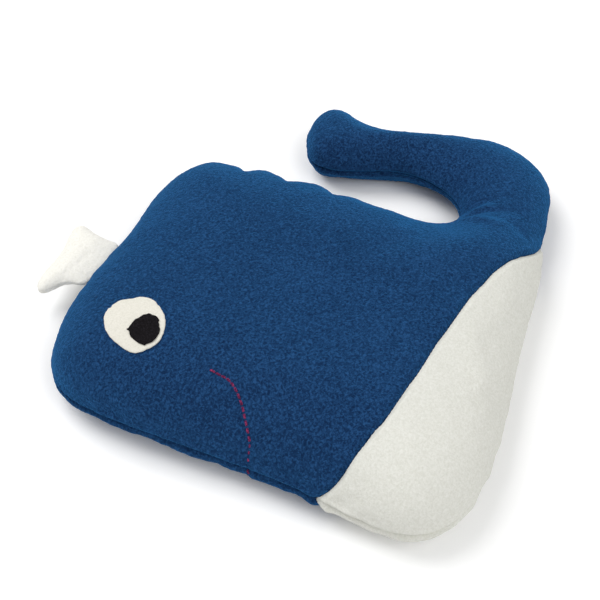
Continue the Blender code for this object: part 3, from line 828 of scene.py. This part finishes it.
def finish_surface(whale, form):
    """Sinks the seams, presses in the folds and raises the pile on the fine mesh."""
    mesh = whale.data
    spots, normals = spots_of(mesh), normals_of(mesh)
    edge_pairs, belly_pairs = seam_pairs(mesh)
    edge, belly = np.unique(edge_pairs), np.unique(belly_pairs)
    uneven = grain(spots, UNEVEN_GRAIN)
    for corners, chain in ((edge, edge_pairs), (belly, belly_pairs)):
        spots[corners] = evened(spots, chain, SEAM_ROUNDS)[corners]
    from_edge = near(spots, spots[edge])
    push = sunk_seam(from_edge, GROOVE, LIP, uneven)
    push += under_lip(spots, from_edge, uneven)
    push += sunk_seam(near(spots, spots[belly]), BELLY_GROOVE, BELLY_LIP, uneven)
    push -= fold_depths(spots, 1) + mouth_pull(spots)
    push += PILE * grain(spots, PILE_GRAIN)
    spots += normals * push[:, None]
    spots[:, 2] = np.maximum(spots[:, 2], eye_room(spots))
    put_spots(mesh, spots)
    form["round_edge"], form["belly"] = spots[edge], spots[belly]


def sunk_seam(gap, groove, lip, uneven):
    """The thread draws the seam in, and the cloth beside it swells a little."""
    sunk = groove * bell(gap, GROOVE_REACH) * (1 + 0.5 * uneven)
    return lip * bell(gap - LIP_PLACE, LIP_REACH) * (1 + uneven) - sunk


def under_lip(spots, gap, uneven):
    """The cloth of the underside rolls out past the seam below the snout."""
    x, y = spots[:, 0] - SHIFT[0], spots[:, 1]
    belly = body_point(BELLY_SEAM_SHARES[1])[1]
    head = [body_point((0, share))[1] for share in UNDER_LIP_HEAD]
    full = fade(x, *UNDER_LIP_SNOUT, 0.25) * fade(y, belly, belly - UNDER_LIP_BELLY, 0.35)
    full *= fade(y, *head, 0.3)
    roll = UNDER_LIP * full * bell(gap - UNDER_LIP_PLACE, UNDER_LIP_REACH)
    return roll * (1 + 0.6 * full * uneven) * (spots[:, 2] <= SEAM_HEIGHT)


def mouth_pull(spots):
    """How far the mouth's thread pulls the cloth in at each point."""
    pull, width = np.zeros(len(spots)), MOUTH_PULL_WIDTH * MM
    line = open_curve(body_points(MOUTH_SHARES + MOUTH_TAIL_SHARES[1:]), 0.002)
    close = np.flatnonzero(close_to(spots[:, :2], line, 4 * width))
    pull[close] = MOUTH_PULL * MM * bell(gap_to_line(spots[close, :2], line), width)
    return pull


def eye_room(spots):
    """How high the cloth stays off the floor, with room for the eye on the underside."""
    room, eye = np.full(len(spots), FLOOR_GAP), body_points(EYE_CUT_SHARES)
    close = np.flatnonzero(close_to(spots[:, :2], eye, 0.015))
    gap = gap_to_line(spots[close, :2], eye, True) * ~inside(spots[close, :2], eye)
    room[close] = np.maximum(FLOOR_GAP, EYE_ROOM * (1 - ease(gap, *EYE_ROOM_FADES)))
    return room


# Cutting the mesh into its panels of cloth

PANELS = (
    ("left_body_cloth", BODY, "left_body_panel"),
    ("left_belly_cloth", BELLY, "left_belly_panel"),
    ("left_tail_cloth", TAIL, "left_tail_panel"),
    ("right_body_cloth", BODY + UNDER, "right_body_panel"),
    ("right_belly_cloth", BELLY + UNDER, "right_belly_panel"),
    ("right_tail_cloth", TAIL + UNDER, "right_tail_panel"),
)


def panels(whale):
    """The six panels of cloth that the body, the belly and the tail are sewn from."""
    blue = fleece(
        "polar_fleece_blue", ("0E2344", "17345A", "244A78"), tuft=1.6 * MM, depth=1.2 * MM,
        sheen=0.9, tint="2F84C4",
    )
    white = fleece("polar_fleece_white", ("D8D8CF", "DEDED6", "E4E4DD"))
    for name, mark, solid in PANELS:
        piece = marked_part(whale, name, {mark})
        thicken(piece, CLOTH)
        shade(piece)
        if "belly" in name:
            dress(piece, white, "white_fleece", solid)
        else:
            dress(piece, blue, "blue_fleece", solid)
        follow(piece, "tail" in name)


def marked_part(whale, name, marks):
    """The faces of the sewn mesh that belong to some panels, as a mesh of their own."""
    mesh = whale.data.copy()
    mesh.name = name
    cut = bmesh.new()
    cut.from_mesh(mesh)
    layer = cut.faces.layers.int["panel"]
    others = [face for face in cut.faces if face[layer] not in marks]
    bmesh.ops.delete(cut, geom=others, context="FACES")
    cut.to_mesh(mesh)
    cut.free()
    piece = bpy.data.objects.new(name, mesh)
    bpy.context.scene.collection.objects.link(piece)
    return piece


def fillings(whale):
    """The loose fibre inside, a little smaller than the cloth round it."""
    fibre = stuffing()
    normals, start = normals_of(whale.data), spots_of(whale.data)
    inset = FILLING_INSET + np.maximum(fold_depths(start, FOLD_ROOM), 0) * FOLD_ROOM
    put_spots(whale.data, start - normals * inset[:, None])
    for name, marks, solid in (
        ("body_fibre", {BODY, BELLY, BODY + UNDER, BELLY + UNDER}, "body_filling"),
        ("tail_fibre", {TAIL, TAIL + UNDER}, "tail_filling"),
    ):
        piece = marked_part(whale, name, marks)
        close_openings(piece)
        shade(piece)
        dress(piece, fibre, "stuffing", solid)
        follow(piece, "tail" in name)
    put_spots(whale.data, start)


def close_openings(thing):
    mesh = bmesh.new()
    mesh.from_mesh(thing.data)
    open_edges = [edge for edge in mesh.edges if edge.is_boundary]
    bmesh.ops.triangle_fill(mesh, edges=open_edges, use_beauty=True)
    mesh.to_mesh(thing.data)
    mesh.free()
    outward(thing)


# The face

def eyes(tree):
    cream = felt("cream_fleece", ("DBD8CC", "E3E0D5", "EAE7DD"), 0.0012)
    black = felt("black_felt", ("0E0D0E", "171517", "262428"), 0.0009)
    for side, way in (("left", 1), ("right", -1)):
        eye = patch(f"{side}_eye_patch", EYE_CUT_SHARES, EYE_CLOTH, PATCH_GAP, way, tree)
        dress(eye, cream, "eye_fleece", f"{side}_eye_white")
        lift = PATCH_GAP * 2 + EYE_CLOTH
        pupil = patch(f"{side}_pupil", PUPIL_CUT_SHARES, PUPIL_CLOTH, lift, way, tree)
        dress(pupil, black, "black_felt", f"{side}_eye_pupil")
        for piece, shares, under in ((eye, EYE_CUT_SHARES, f"{side}_body_cloth"),
                                     (pupil, PUPIL_CUT_SHARES, eye.name)):
            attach(piece, "body")


def patch(name, shares, cloth, lift, way, tree):
    """A patch cut by hand and laid on the cloth, with its edge pressed down a little."""
    corners = body_points(shares)
    border = even(np.concatenate([corners, corners[:1]]), PATCH_STEP)[:-1]
    ragged = grain(np.column_stack([border, np.zeros(len(border))]), RAGGED_GRAIN)
    border = border + inward_of(border) * ragged[:, None] * RAGGED
    plan, faces, _ = sheet_points(border, (), (), PATCH_SPACING)
    edge = bell(gap_to_line(plan, border, True), PRESSED_REACH)
    spots = []
    for point, dip in zip(plan, edge):
        hit, normal = cast(tree, point, way)
        spots.append(hit + normal * (lift + cloth * (1 - PRESSED * dip)))
    piece = new_object(name, spots, faces)
    steady_normals(piece, way)
    thicken(piece, cloth * 0.95)
    subdivide(piece, 1)
    shade(piece, 70)
    return piece


def steady_normals(piece, way):
    """Turns an open sheet's faces up, or down where it lies on the right side."""
    sheet = bmesh.new()
    sheet.from_mesh(piece.data)
    bmesh.ops.recalc_face_normals(sheet, faces=sheet.faces)
    if sum(face.normal.z * face.calc_area() for face in sheet.faces) * way < 0:
        bmesh.ops.reverse_faces(sheet, faces=sheet.faces)
    sheet.to_mesh(piece.data)
    sheet.free()


def stitch_rows(tree, way, shares, length, sink, scale):
    """Where the stitches of a line lie on the cloth: place, way along, way up and scale."""
    line = open_curve(body_points(shares), MOUTH_STEP)
    whole = np.linalg.norm(np.diff(line, axis=0), axis=1).sum()
    places = even(line, whole / max(1, round(whole / length)))
    rows = []
    for a, b in zip(places, places[1:]):
        (start, _), (place, up), (end, _) = [cast(tree, p, way) for p in (a, (a + b) / 2, b)]
        rows.append((place - up * sink, end - start, up, scale))
    return rows


def mouths(tree):
    """A line of hand stitches in doubled thread, then the thread sunk in the pile."""
    red = thread("red_cotton_thread", ("5C2346", "9E3F68"), 0.9 * MM)
    for side, way in (("left", 1), ("right", -1)):
        stitch = new_stitch(MOUTH_STITCH * MOUTH_STITCH_SHARE, MOUTH_THREAD, MOUTH_RISE, True)
        rows = stitch_rows(tree, way, MOUTH_SHARES, MOUTH_STITCH, -MOUTH_LIFT, 1)
        rows += stitch_rows(tree, way, MOUTH_TAIL_SHARES, SUNK_STITCH, SUNK_DEPTH, SUNK_SCALE)
        piece = laid(f"{side}_mouth_thread", stitch, rows)
        dress(piece, red, "red_thread", f"{side}_mouth_stitches")
        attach(piece, "body")


def cast(tree, point, way):
    """The place on the cloth over a point of the plan, and the cloth's way out there."""
    above = Vector((*point, SEAM_HEIGHT + way * 0.1))
    hit, normal = tree.ray_cast(above, Vector((0, 0, -way)))[:2]
    if hit is None:
        hit, normal = tree.find_nearest(Vector((*point, SEAM_HEIGHT)))[:2]
    return np.array(hit), np.array(normal)


def new_stitch(length, width, rise, doubled=False):
    """One stitch that comes up through the cloth, lies over it and goes down again."""
    nothing_selected()
    bpy.ops.mesh.primitive_cylinder_add(
        vertices=6, radius=width / 2, depth=length,
        location=(0, 0, 0), rotation=(0, math.pi / 2, 0),
    )
    stitch = bpy.context.active_object
    bpy.ops.object.transform_apply(location=False, rotation=True, scale=False)
    bpy.ops.object.mode_set(mode="EDIT")
    bpy.ops.mesh.select_all(action="DESELECT")
    shape = bmesh.from_edit_mesh(stitch.data)
    for edge in shape.edges:
        edge.select_set(abs(edge.verts[0].co.x - edge.verts[1].co.x) > length / 2)
    bmesh.update_edit_mesh(stitch.data)
    bpy.ops.mesh.subdivide(number_cuts=5)
    bpy.ops.mesh.select_all(action="DESELECT")
    shape = bmesh.from_edit_mesh(stitch.data)
    for vertex in shape.verts:
        t = 2 * vertex.co.x / length
        vertex.co.z += rise * (1 - t ** 4) - rise / 2
        vertex.co.y *= 1 - 0.35 * t ** 4
    bmesh.update_edit_mesh(stitch.data)
    if doubled:
        aside = width * STRAND_SHARE
        bpy.ops.mesh.select_all(action="SELECT")
        bpy.ops.transform.translate(value=(0, -aside, 0))
        bpy.ops.mesh.duplicate_move(TRANSFORM_OT_translate={"value": (0, 2 * aside, 0)})
    bpy.ops.object.mode_set(mode="OBJECT")
    return stitch


def laid(name, stitch, rows):
    """Copies of one stitch, each along its way on the cloth, as one piece."""
    shape = spots_of(stitch.data)
    corners = [list(face.vertices) for face in stitch.data.polygons]
    spots, faces = [], []
    for place, way, up, scale in rows:
        way = unit(np.array(way))
        side = unit(np.cross(up, way))
        turn = np.stack([way, side, np.cross(way, side)], 1)
        faces += [[corner + len(spots) for corner in face] for face in corners]
        spots += list((shape * scale) @ turn.T + place)
    bpy.data.objects.remove(stitch)
    piece = new_object(name, spots, faces)
    shade(piece)
    return piece


def seam_stitch():
    return new_stitch(SEAM_STITCH * SEAM_STITCH_SHARE, SEAM_THREAD, SEAM_RISE)


def edge_threads(form):
    """The machine stitches at the bottom of the seam round the body and the tail."""
    blue = thread("navy_polyester_thread", ("0F2238", "1B3556"), 0.6 * MM)
    outline = form["outline"]
    ring = even(np.concatenate([outline, outline[:1]]), SEAM_STITCH)
    nearest = [int(np.argmin(np.linalg.norm(outline - point, axis=1))) for point in ring]
    on_tail = np.isin(nearest, form["tail_columns"])
    bottom = tree_of(form["round_edge"])
    ring = np.array([bottom.find((*point, SEAM_HEIGHT))[0] for point in ring])
    away = np.column_stack([-inward_of(ring[:-1, :2]), np.zeros(len(ring) - 1)])
    for name, tail, solid in (
        ("edge_thread", False, "edge_seam_thread"), ("tail_edge_thread", True, "tail_seam_thread"),
    ):
        rows = [
            ((a + b) / 2 - up * SEAM_THREAD, b - a, up, 1)
            for a, b, up, mine in zip(ring, ring[1:], away, on_tail) if mine == tail
        ]
        piece = laid(name, seam_stitch(), rows)
        dress(piece, blue, "blue_thread", solid)
        follow(piece, tail)


def belly_threads(form):
    """The machine stitches of the seams between the blue and the white cloth."""
    blue = bpy.data.materials["navy_polyester_thread"]
    sunk = tree_of(form["belly"])
    for side, way, line in zip(("left", "right"), (1, -1), form["belly_lines"]):
        places = np.array([sunk.find(point)[0] for point in even(line, SEAM_STITCH)])
        rows = [
            ((a + b) / 2, b - a, np.array((0, 0, way)), 1)
            for a, b in zip(places, places[1:]) if np.linalg.norm(b - a) > SEAM_STITCH * 0.4
        ]
        piece = laid(f"{side}_belly_thread", seam_stitch(), rows)
        dress(piece, blue, "blue_thread", f"{side}_belly_seam_thread")
        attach(piece, "body")


# The spout

def spout():
    """A small stuffed spout of two lobes, caught in the seam over the head."""
    root = np.array(joint_named("spout_bend")["pos_m"][:2])
    pillow = sewn_spout(root)
    inner = marked_part(pillow, "spout_fibre", {BODY, UNDER})
    mesh = inner.data
    put_spots(mesh, spots_of(mesh) - normals_of(mesh) * SPOUT_FILLING_INSET)
    outward(inner)
    shade(inner)
    dress(inner, bpy.data.materials["polyester_fibre"], "stuffing", "spout_filling")
    hang_on_head(inner)
    subdivide(pillow, 2)
    finish_spout(pillow.data)
    cream = fleece("polar_fleece_cream", ("EFEDE4", "F5F3EB", "F9F7F0"))
    for name, mark, solid in (
        ("left_spout_cloth", BODY, "left_spout_panel"),
        ("right_spout_cloth", UNDER, "right_spout_panel"),
    ):
        piece = marked_part(pillow, name, {mark})
        thicken(piece, SPOUT_CLOTH)
        shade(piece)
        dress(piece, cream, "spout_fleece", solid)
        hang_on_head(piece)
    bpy.data.objects.remove(pillow)


def sewn_spout(root):
    """Both sides of the spout in one closed mesh, flatter where it is caught in the seam."""
    size = np.array([SPOUT_WIDTH, SPOUT_LENGTH])
    corners = [root + size * np.array(share) for share in SPOUT_OUTLINE_SHARES]
    outline = smooth_closed(corners, SPOUT_SPACING)
    inward = inward_of(outline)
    rows = [outline + inward * inset for inset in SPOUT_ROWS]
    sheet, triangles, _ = sheet_points(rows[-1], (), (), SPOUT_SPACING)
    plan, faces = rim_and_sheet(rows, sheet, triangles)
    t = np.clip(gap_from_edge(plan, outline) / SPOUT_ROUNDING, 0, 1)
    full = ease(plan[:, 1] - root[1], 0.0, SPOUT_FULL_AT)
    full = SPOUT_FLAT_ROOT + (1 - SPOUT_FLAT_ROOT) * full
    rise = SPOUT_RISE * np.sqrt(1 - (1 - t) ** SPOUT_EDGE_POWER) * full
    fold = gap_to_line(plan, np.array([root + size * np.array(share) for share in SPOUT_FOLD]))
    rise -= SPOUT_FOLD_DEPTH * bell(fold, SPOUT_FOLD_WIDTH) * (t > 0)
    rise = np.maximum(rise, SPOUT_LEAST * (t > 0))
    high, low = SEAM_HEIGHT + rise, SEAM_HEIGHT - rise
    return two_sided("spout", plan, high, low, faces, [BODY] * len(faces), len(outline))[0]


def finish_spout(mesh):
    """Sinks the spout's seam and raises its pile."""
    spots, normals = spots_of(mesh), normals_of(mesh)
    edge = np.unique(seam_pairs(mesh)[0])
    push = -SPOUT_GROOVE * bell(near(spots, spots[edge]), SPOUT_GROOVE_REACH)
    push += SPOUT_PILE * grain(spots, SPOUT_PILE_GRAIN)
    put_spots(mesh, spots + normals * push[:, None])


def hang_on_head(piece):
    """Bakes the place of a piece of the spout into its mesh."""
    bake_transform(piece)


# Materials

def linear(code, alpha=1.0):
    """A colour from its sRGB hex value."""
    values = [int(code[place:place + 2], 16) / 255 for place in (0, 2, 4)]
    return (*[v / 12.92 if v <= 0.04045 else ((v + 0.055) / 1.055) ** 2.4 for v in values], alpha)


def node(tree, kind, links=None, **settings):
    """Adds a node, sets its properties or sockets, and links its inputs."""
    made = tree.nodes.new(kind)
    for key, value in settings.items():
        if key in made.inputs:
            made.inputs[key].default_value = value
        else:
            setattr(made, key, value)
    for key, source in (links or {}).items():
        if isinstance(source, (int, float)):
            made.inputs[key].default_value = source
        else:
            tree.links.new(source, made.inputs[key])
    return made


def new_material(name):
    material = bpy.data.materials.new(name)
    material.use_nodes = True
    tree = material.node_tree
    tree.nodes.clear()
    return material, tree


def three_tones(tree, source, tones, low=0.34, high=0.66):
    """A colour ramp of a dark, a middle and a light tone."""
    ramp = node(tree, "ShaderNodeValToRGB", {"Fac": source})
    stops = ramp.color_ramp.elements
    stops[0].position, stops[0].color = low, linear(tones[0])
    stops[1].position, stops[1].color = high, linear(tones[2])
    middle = stops.new((low + high) / 2)
    middle.color = linear(tones[1])
    return ramp.outputs["Color"]


def matt_cloth(tree, colour, height, depth, sheen, tint):
    bump = node(tree, "ShaderNodeBump", {"Height": height}, Strength=0.8, Distance=depth)
    shader = node(
        tree, "ShaderNodeBsdfPrincipled", {"Base Color": colour, "Normal": bump.outputs["Normal"]},
        Roughness=0.95, **{"Sheen Weight": sheen, "Sheen Roughness": 0.5, "Sheen Tint": tint,
                           "Specular IOR Level": 0.05},
    )
    node(tree, "ShaderNodeOutputMaterial", {"Surface": shader.outputs[0]})


def fleece(name, tones, tuft=1.5 * MM, depth=0.4 * MM, sheen=0.02, tint="F0F0EA"):
    """Polar fleece: brushed polyester whose pile has balled into small worm-like tufts."""
    material, tree = new_material(name)
    place = node(tree, "ShaderNodeTexCoord").outputs["Object"]
    tufts = node(
        tree, "ShaderNodeTexNoise", {"Vector": place},
        Scale=1 / tuft, Detail=2, Roughness=0.55, Distortion=0.7,
    )
    # The pile is brushed unevenly, in patches about 50 mm across
    patches = node(tree, "ShaderNodeTexNoise", {"Vector": place}, Scale=20, Detail=3)
    lift = node(
        tree, "ShaderNodeMath", {0: patches.outputs["Fac"], 1: 0.10, 2: -0.05},
        operation="MULTIPLY_ADD",
    )
    mix = node(
        tree, "ShaderNodeMath", {0: tufts.outputs["Fac"], 1: lift.outputs[0]}, operation="ADD"
    )
    colour = three_tones(tree, mix.outputs[0], tones)
    matt_cloth(tree, colour, tufts.outputs["Fac"], depth, sheen, linear(tint))
    return material


def felt(name, tones, fibre):
    """Pressed fibres: a flat, fine surface with soft darker specks."""
    material, tree = new_material(name)
    place = node(tree, "ShaderNodeTexCoord").outputs["Object"]
    fibres = node(
        tree, "ShaderNodeTexNoise", {"Vector": place},
        Scale=1 / fibre, Detail=4, Roughness=0.6, Distortion=0.4,
    )
    colour = three_tones(tree, fibres.outputs["Fac"], tones, 0.30, 0.70)
    matt_cloth(tree, colour, fibres.outputs["Fac"], 0.0003, 0.03, linear(tones[2]))
    return material


def stuffing():
    """Polyester fibre: springy white fibres in loose tangled clumps."""
    material, tree = new_material("polyester_fibre")
    place = node(tree, "ShaderNodeTexCoord").outputs["Object"]
    # Clumps about 7 mm across
    clumps = node(
        tree, "ShaderNodeTexNoise", {"Vector": place},
        Scale=140, Detail=6, Roughness=0.7, Distortion=2,
    )
    colour = three_tones(tree, clumps.outputs["Fac"], ("D8D8D4", "E9E9E6", "F4F4F2"))
    matt_cloth(tree, colour, clumps.outputs["Fac"], 0.0012, 0.1, linear("F4F4F2"))
    return material


def thread(name, tones, ply):
    """Sewing thread: twisted plies that catch the light in slanting bands."""
    material, tree = new_material(name)
    place = node(tree, "ShaderNodeTexCoord").outputs["Object"]
    plies = node(tree, "ShaderNodeTexNoise", {"Vector": place}, Scale=1 / ply, Detail=1)
    colour = three_tones(tree, plies.outputs["Fac"], (tones[0], tones[0], tones[1]), 0.35, 0.62)
    matt_cloth(tree, colour, plies.outputs["Fac"], 0.0002, 0.15, linear(tones[1]))
    return material


# The studio

def camera():
    eye = bpy.data.cameras.new("camera")
    eye.lens, eye.sensor_width = 65, 36
    eye.shift_y = 25 / 600
    eye.clip_start, eye.clip_end = 0.01, 20
    thing = bpy.data.objects.new("camera", eye)
    bpy.context.scene.collection.objects.link(thing)
    turn, lift = math.radians(-61.5), math.radians(50)
    flat = math.cos(lift)
    back = Vector((math.sin(turn) * flat, -math.cos(turn) * flat, math.sin(lift)))
    target = Vector((SHIFT[0] + 0.0070, SHIFT[1] + 0.0005, 0.022))
    thing.location = target + back * 0.758
    thing.rotation_mode = "QUATERNION"
    thing.rotation_quaternion = back.to_track_quat("Z", "Y")
    bpy.context.scene.camera = thing


def lamp(name, place, size, power):
    light = bpy.data.lights.new(name, "AREA")
    light.shape = "DISK"
    light.size = size
    light.energy = power
    thing = bpy.data.objects.new(name, light)
    bpy.context.scene.collection.objects.link(thing)
    thing.location = place
    thing.rotation_mode = "QUATERNION"
    thing.rotation_quaternion = Vector(place).to_track_quat("Z", "Y")


def lamps():
    bpy.context.scene.view_settings.view_transform = "Standard"
    lamp("key", (0.05, 1.50, 2.05), 2.1, 39)
    lamp("fill", (-0.55, -1.45, 1.6), 1.8, 18)
    world = bpy.data.worlds.new("studio")
    bpy.context.scene.world = world
    world.use_nodes = True
    tree = world.node_tree
    tree.nodes.clear()
    soft = node(tree, "ShaderNodeBackground", Color=(1, 1, 1, 1), Strength=0.45)
    white = node(tree, "ShaderNodeBackground", Color=(1, 1, 1, 1), Strength=1)
    mix = node(
        tree, "ShaderNodeMixShader",
        {0: seen_directly(tree), 1: soft.outputs[0], 2: white.outputs[0]},
    )
    node(tree, "ShaderNodeOutputWorld", {"Surface": mix.outputs[0]})


def seen_directly(tree):
    """1 for what the camera sees, straight or in a gloss, and 0 for light on the object."""
    rays = node(tree, "ShaderNodeLightPath").outputs
    either = node(
        tree, "ShaderNodeMath", {0: rays["Is Camera Ray"], 1: rays["Is Glossy Ray"]},
        operation="MAXIMUM",
    )
    return either.outputs[0]


def backdrop():
    """A plain pale floor whose unshaded part is white to the camera."""
    nothing_selected()
    bpy.ops.mesh.primitive_plane_add(size=6, location=(0, 0, -FLOOR_GAP))
    floor = bpy.context.active_object
    floor.name = "floor"
    material, tree = new_material("matt_white_paper")
    seen = seen_directly(tree)
    matt = node(tree, "ShaderNodeBsdfDiffuse", Color=linear("F2F2F2"))
    pale = node(tree, "ShaderNodeBsdfDiffuse", Color=(1.1, 1.1, 1.1, 1))
    near_by = node(tree, "ShaderNodeMixShader", {0: seen, 1: matt.outputs[0], 2: pale.outputs[0]})
    place = node(tree, "ShaderNodeTexCoord").outputs["Object"]
    apart = node(tree, "ShaderNodeVectorMath", {0: place}, operation="LENGTH")
    far = node(
        tree, "ShaderNodeMapRange",
        {"Value": apart.outputs["Value"], "From Min": WHITENS_FROM, "From Max": WHITE_FROM},
    )
    share = node(tree, "ShaderNodeMath", {0: far.outputs[0], 1: seen}, operation="MULTIPLY")
    white = node(tree, "ShaderNodeEmission", Color=(1, 1, 1, 1), Strength=1)
    mix = node(
        tree, "ShaderNodeMixShader",
        {0: share.outputs[0], 1: near_by.outputs[0], 2: white.outputs[0]},
    )
    node(tree, "ShaderNodeOutputMaterial", {"Surface": mix.outputs[0]})
    floor.data.materials.append(material)


main()
